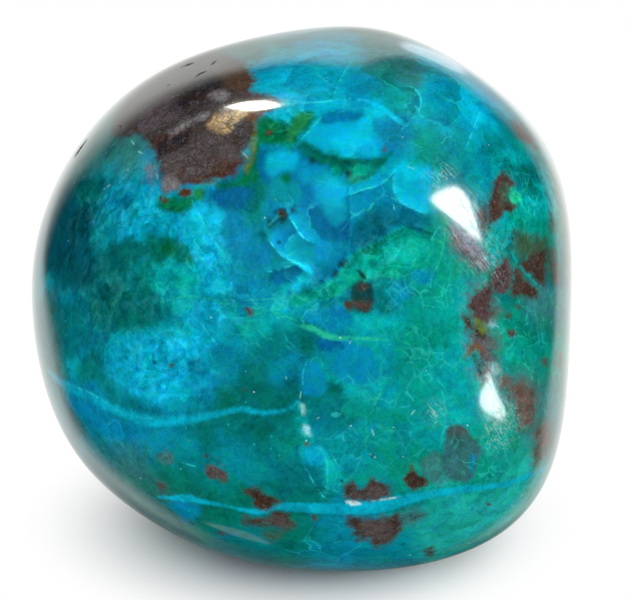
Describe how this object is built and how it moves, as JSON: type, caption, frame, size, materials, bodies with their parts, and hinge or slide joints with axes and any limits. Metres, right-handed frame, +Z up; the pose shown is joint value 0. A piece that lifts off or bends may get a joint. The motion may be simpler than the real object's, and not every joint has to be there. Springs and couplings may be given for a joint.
{
  "type": "tumbled chrysocolla stone",
  "caption": "Polished tumbled pebble of blue-green chrysocolla with brown patches and pale veins, resting on its worn flat underside.",
  "frame": {"origin": "on the surface that the stone rests on, under the middle of its bounding box", "axes": "+Z up out of the worn flat underside, +X along the widest extent to the right of the best face, +Y towards the back; the best face looks to -Y"},
  "size_m": [0.0403, 0.0384, 0.0392],
  "materials": {
    "polished_stone": "tumbled and polished to a high gloss; teal to turquoise with brown patches, green lobes and light blue veins"
  },
  "bodies": {
    "root": {"stone": "polished_stone"}
  },
  "joints": []
}
